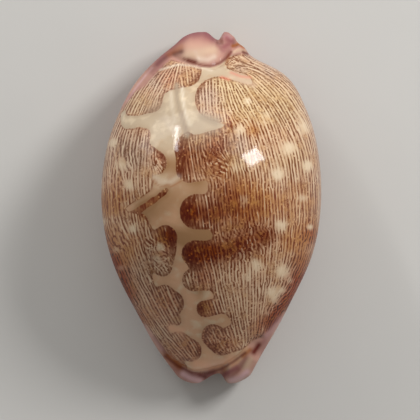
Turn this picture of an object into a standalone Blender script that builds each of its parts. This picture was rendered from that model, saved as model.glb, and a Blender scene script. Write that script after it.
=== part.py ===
"""Map cowrie shell: one hollow, humped shell with a toothed aperture along its underside.

The shell is a loft. Each ring is a closed C: the outer wall from one lip of the
aperture, round the margin, over the back and down to the other lip, then the inner
wall back again. The rings follow the shell from its front canal (-Y) to its rear
canal (+Y). The outer lip is at -X and the inner lip at +X, and the shell stands on
its flattened base at Z = 0.
"""

import math

import bmesh
import bpy
import numpy as np

MM = 0.001

LENGTH = 75.0  # between the tips of the front and rear lobes
HEIGHT = 37.5
WALL = 1.7  # thickness of the back
FRONT_END = -LENGTH / 2
REAR_END = LENGTH / 2 - 0.1

# Places along the shell (Y), each with the value there, in millimetres.
OUTER_SIDE = (  # from the middle plane to the margin on the outer lip's side
    (-37.5, 6.2), (-34.5, 8.4), (-30.5, 11.3), (-24.0, 15.0), (-17.0, 18.7), (-10.0, 21.5), (-3.0, 23.0),
    (3.0, 23.4), (9.0, 22.9), (15.0, 21.6), (21.0, 19.2), (26.0, 16.5), (30.0, 13.2), (33.0, 9.9),
    (35.5, 6.9), (37.5, 5.3),
)  # fmt: skip
INNER_SIDE = (  # the same on the inner lip's side, which carries the spire
    (-37.5, 6.6), (-36.0, 8.1), (-34.5, 9.0), (-31.0, 10.9), (-25.6, 14.0), (-19.0, 17.4), (-12.0, 20.7),
    (-5.0, 22.6), (3.0, 23.3), (10.0, 22.9), (17.0, 21.5), (23.0, 19.2), (27.0, 16.8), (29.5, 13.7),
    (30.7, 11.3), (31.7, 9.3), (32.8, 7.9), (34.0, 7.0), (35.0, 5.8), (36.2, 4.9), (37.5, 4.2),
)  # fmt: skip
RIDGE_HEIGHT = (  # the top of the back
    (-37.5, 4.6), (-35.4, 6.2), (-33.0, 11.6), (-29.0, 17.6), (-23.0, 24.2), (-15.0, 30.6), (-6.0, 35.4),
    (3.0, HEIGHT), (11.0, 36.7), (18.0, 32.9), (24.0, 27.0), (28.0, 21.8), (31.0, 17.6), (33.5, 14.4),
    (35.6, 10.6), (37.5, 7.6),
)  # fmt: skip
RIDGE_SIDE = ((-37.5, 1.8), (-33.0, 0.9), (-24.0, 0.0), (20.0, -0.3), (30.0, 0.2), (35.0, 1.3), (37.5, 1.6))
MARGIN_HEIGHT = (  # the widest line of the shell
    (-37.5, 3.8), (-33.0, 5.4), (-25.0, 8.6), (-12.0, 12.4), (3.0, 14.0), (16.0, 13.6), (25.0, 11.6),
    (32.0, 8.6), (37.5, 6.6),
)  # fmt: skip
BASE_HEIGHT = (  # the base turns up towards both ends
    (-37.5, 1.9), (-33.0, 0.9), (-26.0, 0.1), (-20.0, -0.25), (0.0, -0.4), (18.0, -0.25), (26.0, 0.2),
    (33.0, 1.2), (37.5, 2.3),
)  # fmt: skip
APERTURE_SIDE = (  # the middle of the aperture, which curves towards the spire at the rear
    (-37.5, 0.6), (-33.0, 0.3), (-24.0, -0.9), (-12.0, -2.4), (0.0, -3.0), (12.0, -2.6), (22.0, -1.1),
    (30.0, 0.4), (37.5, 1.3),
)  # fmt: skip
APERTURE_HALF = ((-37.5, 2.1), (-32.0, 2.0), (-22.0, 2.2), (-8.0, 1.8), (10.0, 1.45), (25.0, 1.3), (37.5, 1.2))
CANAL_ROOF = ((-37.5, 4.0), (-33.0, 4.4), (0.0, 5.0), (33.0, 5.6), (37.5, 5.4))

HOLLOW_END = 34.5  # the hollow opens out of the two canals between these places
HOLLOW_FULL = 21.0

BACK_SQUARENESS = 2.08  # a superellipse's exponent, 2 for an ellipse
MARGIN_SQUARENESS = 2.2
BASE_SHARE = 0.56  # where the base levels out, as a share of the way from the aperture to the margin
RIM_RADIUS = 1.7
LIP_HEIGHTS = {-1: 4.2, 1: 6.6}  # the inner lip's wall goes deeper into the shell
LIP_ROUND = 1.1
CANAL_LIP = 0.35
CANAL_SQUARENESS = 2.6

NOTCH_DEPTHS = {-1: 2.1, 1: 1.7}  # how far the canals cut in past the lobes: front, rear
NOTCH_REACH = 4.2
NOTCH_SIDES = {-1: 1.6, 1: 1.45}  # the middle of each canal's cut
NOTCH_HALVES = {-1: (5.0, 2.2), 1: (2.9, 1.4)}  # how wide each cut is on its -X and its +X side
TIP_ROUND = 2.0
TIP_ANGLES = [math.radians(a) for a in (6, 26, 46, 68)]

TEETH = 32
TEETH_FROM, TEETH_TO = -32.0, 31.0
TOOTH_DEPTHS = {-1: 0.55, 1: 0.40}

SCULPTED = (  # (raised by, reach, places along the stroke), on the back seen from above
    (-0.5, 1.5, ((-6.5, 31.4), (-4.6, 30.8), (-2.4, 30.2), (-0.5, 30.0), (1.2, 30.4), (2.7, 31.4))),
    (0.8, 3.0, ((-4.6, 34.0), (-0.9, 33.2))),
    (0.5, 1.3, ((5.2, 33.6), (6.9, 33.0))),
    (0.4, 1.2, ((3.2, 35.9), (4.2, 35.6))),
    (-0.4, 1.6, ((-7.1, -33.8), (-3.9, -35.4), (-0.8, -35.2), (2.0, -34.4), (4.6, -32.9), (7.1, -31.0))),
    (0.6, 1.7, ((-9.0, -33.4), (-6.6, -35.4), (-3.4, -36.6))),
    (0.9, 1.5, ((4.2, -36.0), (6.9, -34.4), (8.6, -32.2))),
    (0.4, 2.4, ((-3.4, -32.4), (1.4, -32.4), (4.6, -30.8))),
)

ARCH_STEPS, MARGIN_STEPS, BASE_STEPS, RIM_STEPS = 9, 4, 3, 2
INNER_BASE_STEPS, INNER_ARCH_STEPS = 3, 5

SHELL_COLOUR = (0.52, 0.33, 0.20, 1.0)
SHELL_ROUGHNESS = 0.12


def spline(points):
    """A natural cubic curve through (place, value) points, as a function of the place."""
    place, value = (np.array(column, float) for column in zip(*points))
    count, gap = len(place), np.diff(place)
    matrix, right = np.eye(count), np.zeros(count)
    for i in range(1, count - 1):
        matrix[i, i - 1 : i + 2] = gap[i - 1], 2 * (gap[i - 1] + gap[i]), gap[i]
        right[i] = 6 * ((value[i + 1] - value[i]) / gap[i] - (value[i] - value[i - 1]) / gap[i - 1])
    bend = np.linalg.solve(matrix, right)

    def at(y):
        y = min(max(y, place[0]), place[-1])
        i = min(max(int(np.searchsorted(place, y)) - 1, 0), count - 2)
        a, b = (place[i + 1] - y) / gap[i], (y - place[i]) / gap[i]
        curved = (a**3 - a) * bend[i] + (b**3 - b) * bend[i + 1]
        return a * value[i] + b * value[i + 1] + curved * gap[i] ** 2 / 6

    return at


half_width = {-1: spline(OUTER_SIDE), 1: spline(INNER_SIDE)}
ridge_height, ridge_side = spline(RIDGE_HEIGHT), spline(RIDGE_SIDE)
margin_height, base_height = spline(MARGIN_HEIGHT), spline(BASE_HEIGHT)
aperture_side, aperture_half = spline(APERTURE_SIDE), spline(APERTURE_HALF)
canal_roof = spline(CANAL_ROOF)


def eased(x):
    x = min(max(x, 0.0), 1.0)
    return x * x * (3 - 2 * x)


def opening(y):
    """How far the inside has opened at y, from 0 in the canals to 1 in the full hollow."""
    return eased((HOLLOW_END - abs(y)) / (HOLLOW_END - HOLLOW_FULL))


def power(x, squareness):
    return max(x, 0.0) ** (2 / squareness)


def notch_shift(y):
    """How far a canal cuts back into the shell at place y, towards the shell's middle."""
    front = NOTCH_DEPTHS[-1] * math.exp(-(((y - FRONT_END) / NOTCH_REACH) ** 2))
    rear = NOTCH_DEPTHS[1] * math.exp(-(((REAR_END - y) / NOTCH_REACH) ** 2))
    return front - rear


def notched(wall):
    """The wall cut back between the lobes of its end, most at the canal's middle."""
    moved = []
    for x, y, z in wall:
        end = 1 if y > 0 else -1
        gap = x - NOTCH_SIDES[end]
        gap = abs(gap) / NOTCH_HALVES[end][1 if gap > 0 else 0]
        moved.append((x, y + notch_shift(y) * 0.5 * (1 + math.cos(math.pi * min(gap, 1.0))), z))
    return np.array(moved)


def tooth(y, side, share):
    """How far a tooth stands into the aperture at y; share fades it out away from the rim."""
    if not TEETH_FROM <= y <= TEETH_TO:
        return 0.0
    phase = (y - TEETH_FROM) / (TEETH_TO - TEETH_FROM)
    ends = eased(phase / 0.06) * eased((1 - phase) / 0.06)
    return TOOTH_DEPTHS[side] * ends * share * math.sin(math.pi * TEETH * phase) ** 2


def rim_radius(y, side):
    """Radius of the aperture's rim, smaller in the narrow lobes."""
    wall_x = aperture_side(y) + side * aperture_half(y)
    level = abs(side * half_width[side](y) - wall_x) * BASE_SHARE
    return min(RIM_RADIUS, 0.6 * level, 0.4 * (canal_roof(y) - base_height(y)))


def outer_half(y, side):
    """Outer wall of one side at place y: from the ridge, round the margin, to the lip's wall."""
    top_y = y + notch_shift(y)
    top_x, top_z = ridge_side(top_y), ridge_height(top_y)
    edge_x, edge_z = side * half_width[side](y), margin_height(y)
    wall_x = aperture_side(y) + side * aperture_half(y)
    base_x, base_z = wall_x + (edge_x - wall_x) * BASE_SHARE, base_height(y)
    rim = rim_radius(y, side)
    points = []
    for i in range(ARCH_STEPS):
        a = math.pi / 2 * i / ARCH_STEPS
        x = top_x + (edge_x - top_x) * power(math.sin(a), BACK_SQUARENESS)
        z = edge_z + (top_z - edge_z) * power(math.cos(a), BACK_SQUARENESS)
        points.append((x, y, z))
    for i in range(MARGIN_STEPS):
        a = math.pi / 2 * i / MARGIN_STEPS
        x = base_x + (edge_x - base_x) * power(math.cos(a), MARGIN_SQUARENESS)
        z = edge_z + (base_z - edge_z) * power(math.sin(a), MARGIN_SQUARENESS)
        points.append((x, y, z))
    for i in range(BASE_STEPS):
        share = i / BASE_STEPS
        x = base_x + (wall_x + side * rim - base_x) * share
        points.append((x, y, base_z - tooth(y, side, 0.4 * eased(2.5 * share - 1.5))))
    for i in range(RIM_STEPS + 1):
        a = math.pi / 2 * i / RIM_STEPS
        x = wall_x + side * rim * (1 - math.sin(a)) - side * tooth(y, side, math.sin(a))
        z = base_z + rim * (1 - math.cos(a)) - tooth(y, side, 0.4 * math.cos(a))
        points.append((x, y, z))
    return [(x, place, max(z, 0.0)) for x, place, z in points]


def canal_half(y, side, count):
    """Inner wall of one side where the shell is only a canal: from above the rim up to its roof."""
    middle, half = aperture_side(y), aperture_half(y)
    start_z = base_height(y) + rim_radius(y, side) + CANAL_LIP
    points = []
    for i in range(count):
        a = math.pi / 2 * i / count
        x = middle + side * half * power(math.cos(a), CANAL_SQUARENESS)
        z = start_z + (canal_roof(y) - start_z) * power(math.sin(a), CANAL_SQUARENESS)
        points.append((x, y, z))
    return np.array(points)


def hollow_half(y, side):
    """Inner wall of one side where the shell is a full hollow: round the lip, out, and up to the roof."""
    wall_x = aperture_side(y) + side * aperture_half(y)
    edge_x, edge_z = side * (half_width[side](y) - WALL), margin_height(y) + 1.0
    lip_z, floor_z = LIP_HEIGHTS[side], min(LIP_HEIGHTS.values()) - LIP_ROUND
    points = [
        (wall_x, y, lip_z - LIP_ROUND),
        (wall_x + side * LIP_ROUND, y, lip_z),
        (wall_x + side * 2.2 * LIP_ROUND, y, lip_z - 0.5 * LIP_ROUND),
    ]
    start_x, start_z = wall_x + side * 3.0 * LIP_ROUND, floor_z + 0.2 * (lip_z - floor_z)
    for i in range(INNER_BASE_STEPS):
        a = math.pi / 2 * i / INNER_BASE_STEPS
        x = start_x + (edge_x - start_x) * power(math.sin(a), MARGIN_SQUARENESS)
        z = edge_z + (start_z - edge_z) * power(math.cos(a), MARGIN_SQUARENESS)
        points.append((x, y, z))
    for i in range(INNER_ARCH_STEPS):
        a = math.pi / 2 * i / INNER_ARCH_STEPS
        x = ridge_side(y) + (edge_x - ridge_side(y)) * power(math.cos(a), BACK_SQUARENESS)
        z = edge_z + (ridge_height(y) - WALL - edge_z) * power(math.sin(a), BACK_SQUARENESS)
        points.append((x, y, z))
    return np.array(points)


def inner_wall(y):
    """The whole inner wall, which changes from the canal's to the hollow's away from the ends."""
    halves = []
    for side in (-1, 1):
        hollow = hollow_half(y, side)
        halves.append((1 - opening(y)) * canal_half(y, side, len(hollow)) + opening(y) * hollow)
    canal_top = np.array((aperture_side(y), y, canal_roof(y)))
    hollow_top = np.array((ridge_side(y), y, ridge_height(y) - WALL))
    top = (1 - opening(y)) * canal_top + opening(y) * hollow_top
    return np.concatenate((halves[0], top[None], halves[1][::-1]))


def ring(y):
    """(outer wall, inner wall) of the C at place y, both from the outer lip to the inner lip."""
    outer = outer_half(y, -1)[:0:-1] + outer_half(y, 1)
    return np.array(outer), inner_wall(y)


def matched(points, count):
    """The polyline read at count even steps of its index, so that two walls can be paired."""
    steps = np.linspace(0, len(points) - 1, count)
    return np.stack([np.interp(steps, range(len(points)), points[:, axis]) for axis in range(3)], 1)


def tip_ring(end, angle):
    """A ring in the rounded end of the lobes, drawn in towards the middle of the wall, and by what share."""
    inwards = 1 if end < 0 else -1
    outer, inner = ring(end + inwards * TIP_ROUND * (1 - math.cos(angle)))
    middle_out = (outer + matched(inner, len(outer))) / 2
    middle_in = (inner + matched(outer, len(inner))) / 2
    share = math.sin(angle)
    return middle_out + (outer - middle_out) * share, middle_in + (inner - middle_in) * share, share


def stroke_distance(x, y, places):
    """How far (x, y) is from a stroke drawn through its places."""
    here, nearest = np.array((x, y)), math.inf
    for start, end in zip(places, places[1:]):
        start, along = np.array(start), np.subtract(end, start)
        share = np.clip(np.dot(here - start, along) / np.dot(along, along), 0, 1)
        nearest = min(nearest, float(np.linalg.norm(here - start - share * along)))
    return nearest


def sculpt(rings):
    """Raises and sinks the back along its normals, where the strokes pass, by each ring's share."""
    outer = np.stack([ring_outer for ring_outer, _, _ in rings])
    normals = np.cross(np.gradient(outer, axis=1), np.gradient(outer, axis=0))
    normals /= np.linalg.norm(normals, axis=2, keepdims=True)
    middle = outer.shape[1] // 2
    for row in range(outer.shape[0]):
        for column in range(middle - ARCH_STEPS, middle + ARCH_STEPS + 1):
            x, y, _ = rings[row][0][column]
            raised = sum(by * math.exp(-((stroke_distance(x, y, places) / reach) ** 2))
                         for by, reach, places in SCULPTED)  # fmt: skip
            fade = eased((ARCH_STEPS - abs(column - middle)) / 3)
            outer[row, column] += normals[row, column] * raised * fade * rings[row][2]
    return [(outer[row], inner) for row, (_, inner, _) in enumerate(rings)]


def all_rings():
    rows = 2 * TEETH
    steps = (TEETH_TO - TEETH_FROM) / rows
    toothed = [TEETH_FROM + steps * i for i in range(rows + 1)]
    body_front, body_rear = FRONT_END + TIP_ROUND, REAR_END - TIP_ROUND
    before = list(np.linspace(body_front, TEETH_FROM, 3)[:-1])
    after = list(np.linspace(TEETH_TO, body_rear, 4)[1:])
    rings = [tip_ring(FRONT_END, a) for a in TIP_ANGLES]
    rings += [(*ring(y), 1.0) for y in before + toothed + after]
    rings += [tip_ring(REAR_END, a) for a in reversed(TIP_ANGLES)]
    return sculpt([(notched(outer), notched(inner), share) for outer, inner, share in rings])


def cap(mesh, outer, inner, flip):
    """Closes one end of the loft with the strip between its outer and its inner wall."""
    i = j = 0
    while i < len(outer) - 1 or j < len(inner) - 1:
        ahead = (i + 1) / (len(outer) - 1) <= (j + 1) / (len(inner) - 1)
        if j == len(inner) - 1 or (ahead and i < len(outer) - 1):
            corners = (outer[i], outer[i + 1], inner[j])
            i += 1
        else:
            corners = (outer[i], inner[j + 1], inner[j])
            j += 1
        mesh.faces.new(corners[::-1] if flip else corners)


def build_shell():
    mesh = bmesh.new()
    loops = []
    for outer, inner in all_rings():
        walls = [[mesh.verts.new(point * MM) for point in wall] for wall in (outer, inner)]
        loops.append(walls)
    for (outer_a, inner_a), (outer_b, inner_b) in zip(loops, loops[1:]):
        round_a, round_b = outer_a + inner_a[::-1], outer_b + inner_b[::-1]
        for i in range(len(round_a)):
            j = (i + 1) % len(round_a)
            mesh.faces.new((round_a[i], round_a[j], round_b[j], round_b[i]))
    cap(mesh, *loops[0], flip=True)
    cap(mesh, *loops[-1], flip=False)
    data = bpy.data.meshes.new("shell")
    mesh.to_mesh(data)
    mesh.free()
    data.shade_smooth()
    shell = bpy.data.objects.new("shell", data)
    bpy.context.scene.collection.objects.link(shell)
    return shell


def shell_material():
    material = bpy.data.materials.new("glossy_shell")
    material.use_nodes = True
    surface = material.node_tree.nodes["Principled BSDF"]
    surface.inputs["Base Color"].default_value = SHELL_COLOUR
    surface.inputs["Roughness"].default_value = SHELL_ROUGHNESS
    surface.inputs["Metallic"].default_value = 0.0
    return material


def main():
    for old in list(bpy.data.objects):
        bpy.data.objects.remove(old)
    build_shell().data.materials.append(shell_material())


main()
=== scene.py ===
"""Map cowrie shell: the fine shell with its enamel markings, on a plain floor under studio lamps.

The shell is one sheet wrapped into a closed C that runs from the front canal (-Y) to
the rear canal (+Y), and it stands for the plain CAD shell, which stays underneath it in
the physics. The outer lip is at -X, the inner lip and the spire are at +X. Lengths in
the tables are millimetres and everything in the scene is in metres.
"""

import functools
import math

import bpy
import numpy as np
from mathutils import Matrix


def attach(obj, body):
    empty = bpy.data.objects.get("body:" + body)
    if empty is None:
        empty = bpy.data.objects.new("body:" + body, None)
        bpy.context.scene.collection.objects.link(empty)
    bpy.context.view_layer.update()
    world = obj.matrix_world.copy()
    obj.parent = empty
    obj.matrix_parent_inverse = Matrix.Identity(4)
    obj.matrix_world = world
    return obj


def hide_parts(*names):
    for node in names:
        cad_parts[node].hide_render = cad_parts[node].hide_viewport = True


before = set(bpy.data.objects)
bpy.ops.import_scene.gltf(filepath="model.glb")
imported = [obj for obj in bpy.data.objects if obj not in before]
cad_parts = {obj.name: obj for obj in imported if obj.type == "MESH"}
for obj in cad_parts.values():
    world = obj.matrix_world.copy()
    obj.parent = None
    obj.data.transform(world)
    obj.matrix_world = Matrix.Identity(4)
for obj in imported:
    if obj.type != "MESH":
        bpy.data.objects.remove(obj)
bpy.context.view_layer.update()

bl_info = {
    "name": "Map Cowrie Shell",
    "version": (1, 0, 0),
    "blender": (4, 5, 0),
    "location": "View3D > Sidebar > Cowrie",
    "description": "Builds a map cowrie shell with its markings, and a plain studio round it",
    "category": "Object",
}

MM = 0.001
FRONT_END, REAR_END = -37.5, 37.4
WALL = 1.7

# Profiles: (place along the shell, value there).
OUTER_SIDE = (  # from the middle plane to the margin on the outer lip's side
    (-37.5, 6.2), (-34.5, 8.4), (-30.5, 11.3), (-24.0, 15.0), (-17.0, 18.7), (-10.0, 21.5),
    (-3.0, 23.0), (3.0, 23.4), (9.0, 22.9), (15.0, 21.6), (21.0, 19.2), (26.0, 16.5), (30.0, 13.2),
    (33.0, 9.9), (35.5, 6.9), (37.5, 5.3),
)  # fmt: skip
INNER_SIDE = (  # the same on the inner lip's side, which carries the spire
    (-37.5, 6.6), (-36.0, 8.1), (-34.5, 9.0), (-31.0, 10.9), (-25.6, 14.0), (-19.0, 17.4),
    (-12.0, 20.7), (-5.0, 22.6), (3.0, 23.3), (10.0, 22.9), (17.0, 21.5), (23.0, 19.2), (27.0, 16.8),
    (29.5, 13.7), (30.7, 11.3), (31.7, 9.3), (32.8, 7.9), (34.0, 7.0), (35.0, 5.8), (36.2, 4.9),
    (37.5, 4.2),
)  # fmt: skip
RIDGE_HEIGHT = (
    (-37.5, 4.6), (-35.4, 6.2), (-33.0, 11.6), (-29.0, 17.6), (-23.0, 24.2), (-15.0, 30.6),
    (-6.0, 35.4), (3.0, 37.5), (11.0, 36.7), (18.0, 32.9), (24.0, 27.0), (28.0, 21.8), (31.0, 17.6),
    (33.5, 14.4), (35.6, 10.6), (37.5, 7.6),
)  # fmt: skip
RIDGE_SIDE = (
    (-37.5, 1.8), (-33.0, 0.9), (-24.0, 0.0), (20.0, -0.3), (30.0, 0.2), (35.0, 1.3), (37.5, 1.6),
)  # fmt: skip
MARGIN_HEIGHT = (
    (-37.5, 3.8), (-33.0, 5.4), (-25.0, 8.6), (-12.0, 12.4), (3.0, 14.0), (16.0, 13.6), (25.0, 11.6),
    (32.0, 8.6), (37.5, 6.6),
)  # fmt: skip
BASE_HEIGHT = (
    (-37.5, 1.9), (-33.0, 0.9), (-26.0, 0.1), (-20.0, -0.25), (0.0, -0.4), (18.0, -0.25), (26.0, 0.2),
    (33.0, 1.2), (37.5, 2.3),
)  # fmt: skip
APERTURE_SIDE = (
    (-37.5, 0.6), (-33.0, 0.3), (-24.0, -0.9), (-12.0, -2.4), (0.0, -3.0), (12.0, -2.6), (22.0, -1.1),
    (30.0, 0.4), (37.5, 1.3),
)  # fmt: skip
APERTURE_HALF = (
    (-37.5, 2.1), (-32.0, 2.0), (-22.0, 2.2), (-8.0, 1.8), (10.0, 1.45), (25.0, 1.3), (37.5, 1.2),
)  # fmt: skip
CANAL_ROOF = ((-37.5, 4.0), (-33.0, 4.4), (0.0, 5.0), (33.0, 5.6), (37.5, 5.4))

HOLLOW_END, HOLLOW_FULL = 34.5, 21.0  # the canals open into the hollow between these distances
HOLLOW_MARGIN = 1.0  # how far above the outer margin the hollow is widest
HOLLOW_FLOOR = (3.0, 0.2)  # its floor starts so many lip radii out, and this far up the lips' step
BACK_SQUARENESS, MARGIN_SQUARENESS, CANAL_SQUARENESS = 2.08, 2.2, 2.6
BASE_SHARE = 0.56  # the level base ends this far from the aperture towards the margin
REST_SOFTNESS = 0.3  # how gently the rounded base turns into the level rest
RIM_RADIUS = 1.7
RIM_OF_BASE, RIM_OF_CANAL = 0.6, 0.4  # the most of the base and of the canal that the rim takes up
LIP_HEIGHTS = {-1: 4.2, 1: 6.6}
LIP_ROUND, LIP_TURN = 1.1, 160  # the lip's radius, and the degrees it turns through inside
CANAL_LIP = 0.35  # the inner wall starts this far above the rim
NOTCH_DEPTHS = {-1: 2.1, 1: 1.7}  # the notch at each end, front (-1) and rear (1), where its canal opens
NOTCH_REACH = 4.2
NOTCH_SIDES = {-1: 1.6, 1: 1.45}
NOTCH_HALVES = {-1: (5.0, 2.2), 1: (2.9, 1.4)}  # how wide each canal cuts on its -X and its +X side
TIP_ROUND = 2.0  # the length over which each end is rounded off
TEETH_FROM, TEETH_TO = -32.0, 31.0
TOOTH_REACH = {-1: 3.4, 1: 2.4}  # how far the grooves between the teeth run out over the base
TOOTH_STAIN_REACH = 6.0
TOOTH_WANDER = ((0.18, 1.7), (0.1, 5.3))  # how unevenly they stand: share of one, waves along the lip
TEETH_FADE = 0.06  # share of the row over which the teeth die out at each end

# Strokes: (raised by, reach, places along the stroke), on the back seen from above.
REAR_CREASE = (
    (-8.2, 32.1), (-6.5, 31.4), (-4.6, 30.8), (-2.4, 30.2), (-0.5, 30.0), (1.2, 30.4), (2.7, 31.4),
    (3.9, 33.0), (5.4, 34.8),
)  # fmt: skip
FRONT_CREASE = (
    (-11.4, -29.3), (-9.7, -31.6), (-7.1, -33.8), (-3.9, -35.4), (-0.8, -35.2), (2.0, -34.4),
    (4.6, -32.9), (7.1, -31.0), (8.8, -29.3), (10.4, -27.8),
)  # fmt: skip
SCULPTED = (
    (-0.6, 0.55, REAR_CREASE),
    (-0.5, 1.5, REAR_CREASE[1:-2]),
    (0.8, 3.0, ((-4.6, 34.0), (-0.9, 33.2))),
    (0.5, 1.2, ((5.2, 33.6), (6.9, 33.0))),
    (-0.3, 0.6, ((4.2, 32.2), (5.8, 32.6), (7.6, 32.4))),
    (0.5, 1.1, ((3.2, 35.9), (4.2, 35.6))),
    (-0.35, 0.7, ((1.6, 34.9), (3.2, 34.5), (4.9, 34.5))),
    (-0.55, 0.65, FRONT_CREASE[1:]),
    (-0.4, 1.6, FRONT_CREASE[2:-1]),
    (0.6, 1.7, ((-9.0, -33.4), (-6.6, -35.4), (-3.4, -36.6))),
    (0.9, 1.5, ((4.2, -36.0), (6.9, -34.4), (8.6, -32.2))),
    (0.4, 2.4, ((-3.4, -32.4), (1.4, -32.4), (4.6, -30.8))),
)
SCULPTED_FADE = 1 / 3  # share of the back's height over which the sculpting dies out at the margin

ARCH_STEPS, MARGIN_STEPS, BASE_STEPS, RIM_STEPS = 60, 8, 7, 5
LIP_WALL_STEPS, LIP_STEPS, FLOOR_STEPS, ROOF_STEPS = 5, 8, 26, 41
BASE_CROWDING = 1.5  # how much closer together the base's columns stand towards the aperture
TIP_STEPS = 10
BODY_ROWS = 270
END_CROWDING = 0.25  # how much closer together the rows stand towards the ends

# Pattern places are picture places: millimetres from the middle, as seen from straight above.
PICTURE_PIXEL = 0.213
PICTURE_MIDDLE = (211.5, 207.5)
PICTURE_SIZE = 420
PICTURE_LEVEL = 8.0  # the height at which a picture pixel has its size
LENS, SENSOR = 600.0, 36.0
CLIP_START = 0.01  # metres
EYE_HEIGHT = PICTURE_LEVEL + PICTURE_SIZE * PICTURE_PIXEL * LENS / SENSOR


def linear(code):
    """An sRGB hex colour as linear red, green, blue and alpha."""
    parts = [int(code[i : i + 2], 16) / 255 for i in (1, 3, 5)]
    return tuple(p / 12.92 if p <= 0.04045 else ((p + 0.055) / 1.055) ** 2.4 for p in parts) + (1.0,)


def spline(points):
    """A natural cubic curve through (place, value) points, read at an array of places."""
    place, value = (np.array(column, float) for column in zip(*points))
    count, gap, rise = len(place), np.diff(place), np.diff(value)
    matrix, right = np.eye(count), np.zeros(count)
    for i in range(1, count - 1):
        matrix[i, i - 1 : i + 2] = gap[i - 1], 2 * (gap[i - 1] + gap[i]), gap[i]
        right[i] = 6 * (rise[i] / gap[i] - rise[i - 1] / gap[i - 1])
    bend = np.linalg.solve(matrix, right)

    def at(y):
        y = np.clip(y, place[0], place[-1])
        i = np.clip(np.searchsorted(place, y) - 1, 0, count - 2)
        a, b = (place[i + 1] - y) / gap[i], (y - place[i]) / gap[i]
        curved = (a**3 - a) * bend[i] + (b**3 - b) * bend[i + 1]
        return a * value[i] + b * value[i + 1] + curved * gap[i] ** 2 / 6

    return at


half_width = {-1: spline(OUTER_SIDE), 1: spline(INNER_SIDE)}
ridge_height, ridge_side = spline(RIDGE_HEIGHT), spline(RIDGE_SIDE)
margin_height, base_height = spline(MARGIN_HEIGHT), spline(BASE_HEIGHT)
aperture_side, aperture_half = spline(APERTURE_SIDE), spline(APERTURE_HALF)
canal_roof = spline(CANAL_ROOF)


def eased(x):
    x = np.clip(x, 0.0, 1.0)
    return x * x * (3 - 2 * x)


def power(x, squareness):
    return np.clip(x, 0.0, None) ** (2 / squareness)


def quarter(steps, closed=0):
    """Angles from 0 towards a right angle, in even steps."""
    return np.linspace(0.0, math.pi / 2, steps + 1)[: steps + closed]


def opening(y):
    return eased((HOLLOW_END - abs(y)) / (HOLLOW_END - HOLLOW_FULL))


def notch_shift(y):
    front = NOTCH_DEPTHS[-1] * np.exp(-(((y - FRONT_END) / NOTCH_REACH) ** 2))
    rear = NOTCH_DEPTHS[1] * np.exp(-(((REAR_END - y) / NOTCH_REACH) ** 2))
    return front - rear


def notched(grid):
    """The grid with both canals cut back between their lobes, most at each canal's middle."""
    x, y, z = grid[..., 0], grid[..., 1], grid[..., 2]
    end = np.where(y < 0, -1, 1)
    middle = np.where(end < 0, NOTCH_SIDES[-1], NOTCH_SIDES[1])
    left, right = (np.where(end < 0, NOTCH_HALVES[-1][i], NOTCH_HALVES[1][i]) for i in (0, 1))
    gap = abs(x - middle) / np.where(x < middle, left, right)
    cut = 0.5 * (1 + np.cos(math.pi * np.minimum(gap, 1.0)))
    return points(x, y + notch_shift(y) * cut, z)


def lip_wall(y, side):
    return aperture_side(y) + side * aperture_half(y)


def rim_radius(y, side):
    level = abs(side * half_width[side](y) - lip_wall(y, side)) * BASE_SHARE
    tall = canal_roof(y) - base_height(y)
    return np.minimum(np.minimum(RIM_RADIUS, RIM_OF_BASE * level), RIM_OF_CANAL * tall)


def groove(y, side, teeth):
    """0 on the crest of each tooth and 1 in the groove between two, fading out at both ends."""
    phase = (y - TEETH_FROM) / (TEETH_TO - TEETH_FROM)
    (slow, few), (quick, many) = TOOTH_WANDER
    wander = slow * np.sin(2 * math.pi * (few * phase + 0.2 * side))
    wander = wander + quick * np.sin(2 * math.pi * many * phase)
    ends = eased(phase / TEETH_FADE) * eased((1 - phase) / TEETH_FADE)
    return ends * np.cos(math.pi * (teeth * phase + wander)) ** 2


def points(x, y, z):
    return np.stack(np.broadcast_arrays(x, y, z), axis=-1)


def rounded(y, centre, reach, steps, squareness, from_side=False):
    """Places along a squared-off quarter round, from above or below its centre to level with it, or the
    other way. Centre and reach are (across, up)."""
    a = quarter(steps)
    across, up = (np.cos(a), np.sin(a)) if from_side else (np.sin(a), np.cos(a))
    x = centre[0] + reach[0] * power(across, squareness)
    return points(x, y, centre[1] + reach[1] * power(up, squareness))


def outer_half(y, side, teeth, depth):
    """Outer wall of one side, a row for each y: ridge, margin, base and rim."""
    top_y = y + notch_shift(y)
    top_x, top_z = ridge_side(top_y), ridge_height(top_y)
    edge_x, edge_z = side * half_width[side](y), margin_height(y)
    wall_x, base_z, rim = lip_wall(y, side), base_height(y), rim_radius(y, side)
    base_x = wall_x + (edge_x - wall_x) * BASE_SHARE
    cut = depth[side] * groove(y, side, teeth)
    down, out = (edge_x - top_x, top_z - edge_z), (edge_x - base_x, base_z - edge_z)
    back = rounded(y, (top_x, edge_z), down, ARCH_STEPS, BACK_SQUARENESS)
    margin = rounded(y, (base_x, edge_z), out, MARGIN_STEPS, MARGIN_SQUARENESS, from_side=True)
    share = np.linspace(0.0, 1.0, BASE_STEPS + 1)[:-1]
    x = base_x + (wall_x + side * rim - base_x) * (1 - (1 - share) ** BASE_CROWDING)
    fade = eased(1 - (abs(x - wall_x) - rim) / TOOTH_REACH[side])
    level = points(x, y, base_z + cut * fade)
    a = quarter(RIM_STEPS, closed=1)
    rim_round = points(
        wall_x + side * (rim * (1 - np.sin(a)) + cut * np.sin(a)),
        y,
        base_z + rim * (1 - np.cos(a)) + cut * np.cos(a),
    )
    half = np.concatenate((back, margin, level, rim_round), axis=1)
    half[..., 2] = 0.5 * (half[..., 2] + np.sqrt(half[..., 2] ** 2 + REST_SOFTNESS**2))
    return half


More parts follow.
